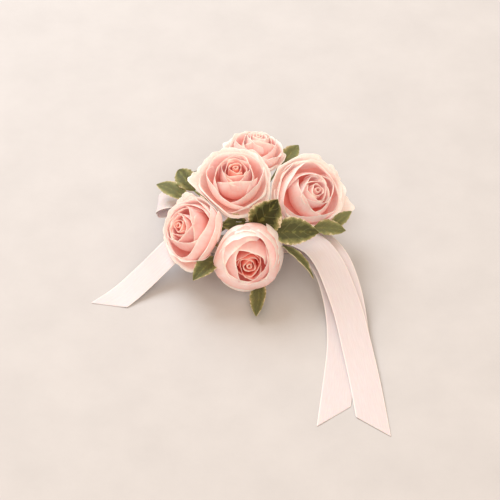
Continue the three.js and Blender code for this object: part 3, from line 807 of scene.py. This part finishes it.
def felt_pad(material):
    low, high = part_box("felt_pad")
    middle = (Vector(low) + Vector(high)) / 2
    radius = (high[0] - low[0]) / 2
    shell = bmesh.new()
    bmesh.ops.create_cone(shell, cap_ends=True, segments=72, radius1=radius, radius2=radius,
                          depth=high[2] - low[2], matrix=Matrix.Translation(middle))
    rim = [e for e in shell.edges if abs(e.verts[0].co.z - e.verts[1].co.z) < 1e-6]
    bmesh.ops.bevel(shell, geom=rim, offset=0.3 * MM, affect="EDGES", segments=2, profile=0.5, material=-1)
    for v in shell.verts:
        ragged = noise.noise(v.co * 900) * 0.12 * MM
        v.co += (v.co - middle).normalized() * ragged
    piece = finish_piece("felt_backing", shell, material, ["felt_pad"])


def binding(material):
    low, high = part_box("tape_binding")
    middle = (Vector(low) + Vector(high)) / 2
    radius = (high[0] - low[0]) / 2
    shell = bmesh.new()
    bmesh.ops.create_cone(shell, cap_ends=True, segments=48, radius1=radius, radius2=radius,
                          depth=high[2] - low[2], matrix=Matrix.Translation(middle))
    walls = [e for e in shell.edges if abs(e.verts[0].co.z - e.verts[1].co.z) > 1e-6]
    bmesh.ops.subdivide_edges(shell, edges=walls, cuts=9, use_grid_fill=True)
    for v in shell.verts:
        out = (v.co - middle).to_2d()
        if out.length < radius * 0.5:
            continue
        turn = math.atan2(out.y, out.x) / (2 * math.pi)
        wrap = ((v.co.z - low[2]) / (0.7 * MM) + turn) % 1
        shift = (0.1 * wrap + 0.06 * noise.noise(v.co * 1500)) * MM - 0.12 * MM
        v.co += Vector((out.x, out.y, 0)).normalized() * shift
    finish_piece("tape_wrap", shell, material, ["tape_binding"], smooth=False)


# ---------------------------------------------------------------- calyces and stems
def calyx(key, material):
    rose = ROSES[key]
    place = rose_matrix(rose)
    shell = bmesh.new()
    made = bmesh.ops.create_uvsphere(shell, u_segments=20, v_segments=12, radius=1)
    for v in made["verts"]:
        v.co = place @ Vector((v.co.x * 4.2, v.co.y * 4.2, 2.8 + v.co.z * 2.6))
    bmesh.ops.recalc_face_normals(shell, faces=shell.faces[:])
    finish_piece(f"rose_{key}_hip", shell, material, [f"rose_{key}_calyx"])
    sepals = bmesh.new()
    chance = random.Random("sepals " + key)
    for i in range(5):
        angle = math.radians(72 * i) + 0.3
        droop = chance.uniform(0.5, 2.2)

        def place_sepal(u, v):
            across = 2 * u - 1
            half = 2.3 * (1 - v) ** 0.7 * (0.6 + 0.4 * math.sin(math.pi * min(1, v * 1.4))) + 0.08
            reach = 3 + 9.6 * v
            z = 4.6 + 0.8 * math.sin(math.pi * v) - droop * v * v - 0.25 * across ** 2 * half
            local = Vector((reach, across * half, z))
            return place @ (Quaternion((0, 0, 1), angle) @ local)

        grid_into(sepals, 6, 12, place_sepal, "leaf", lambda u, v: (abs(2 * u - 1), v))
    piece = finish_piece(f"rose_{key}_sepals", sepals, material, [f"rose_{key}_calyx"])
    subdivide(thicken(piece, LEAF_WALL))


def stem(key, material):
    rose = ROSES[key]
    axis = Vector(rose["faces"]).normalized()
    start = Vector(rose["base"]) + axis * 0.8
    aside = start - HUB
    aside.z = 0
    level = aside.length > 6
    end = HUB + aside.normalized() * 3.6 if level else Vector((start.x, start.y, 20.5))
    bend = start - axis * (start - end).length * 0.35
    bend.z = max(bend.z, HUB.z if level else end.z)
    path = []
    for i in range(15):
        t = i / 14
        path.append(((1 - t) ** 2 * start + 2 * t * (1 - t) * bend + t * t * end) * MM)
    shell = bmesh.new()
    tube_into(shell, path, lambda t: (1.25 - 0.25 * math.sin(math.pi * t)) * MM, sides=14)
    finish_piece(f"rose_{key}_stalk", shell, material, [f"rose_{key}_stem"])


def leaf_stalks(material):
    """The wired stalks that bring every leaf to the binding."""
    for name, (base, *_) in LEAVES.items():
        base = Vector(base)
        out = base - HUB
        out.z = 0
        root = HUB + out.normalized() * 4
        bend = root.lerp(base, 0.6)
        bend.z = min(HUB.z, base.z) - 0.45
        path = []
        for i in range(11):
            t = i / 10
            path.append(((1 - t) ** 2 * root + 2 * t * (1 - t) * bend + t * t * base) * MM)
        shell = bmesh.new()
        tube_into(shell, path, lambda t: 0.5 * MM, sides=8)
        finish_piece(f"{name}_stalk", shell, material, [name])


# ---------------------------------------------------------------- the scene
camera()
softbox("window", (-0.6, 0.9, 1.05), 1.1, 18.5, "#f3f8ff")
softbox("fill", (0.1, -1.1, 1.1), 1.6, 7.5, "#fffaf8")
world = bpy.data.worlds.new("studio")
world.use_nodes = True
world.node_tree.nodes["Background"].inputs["Color"].default_value = srgb("#ffe1c4")
world.node_tree.nodes["Background"].inputs["Strength"].default_value = 0.74
bpy.context.scene.world = world
bpy.context.scene.view_settings.view_transform = "Standard"

petal = rose_petal()
foliage = rose_leaf()
stalk = green_stalk()
satin = satin_ribbon()

for rose_key in ROSES:
    for rose_piece in WHORLS:
        rose_part(rose_key, rose_piece, petal)
    calyx(rose_key, stalk)
    stem(rose_key, stalk)
for leaf_name in LEAVES:
    leaf(leaf_name, foliage)
leaf_stalks(stalk)
for ribbon_name in RIBBONS:
    ribbon(ribbon_name, satin)
wristlet(elastic_webbing())
felt_pad(wool_felt())
binding(floral_tape())
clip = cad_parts["wristlet_clip"]
clip.data.materials.clear()
clip.data.materials.append(plated_steel())

ground = bmesh.new()
bmesh.ops.create_grid(ground, x_segments=1, y_segments=1, size=3)
floor_mesh = bpy.data.meshes.new("table")
ground.to_mesh(floor_mesh)
ground.free()
floor = bpy.data.objects.new("table", floor_mesh)
floor_mesh.materials.append(plaster_table())
bpy.context.scene.collection.objects.link(floor)
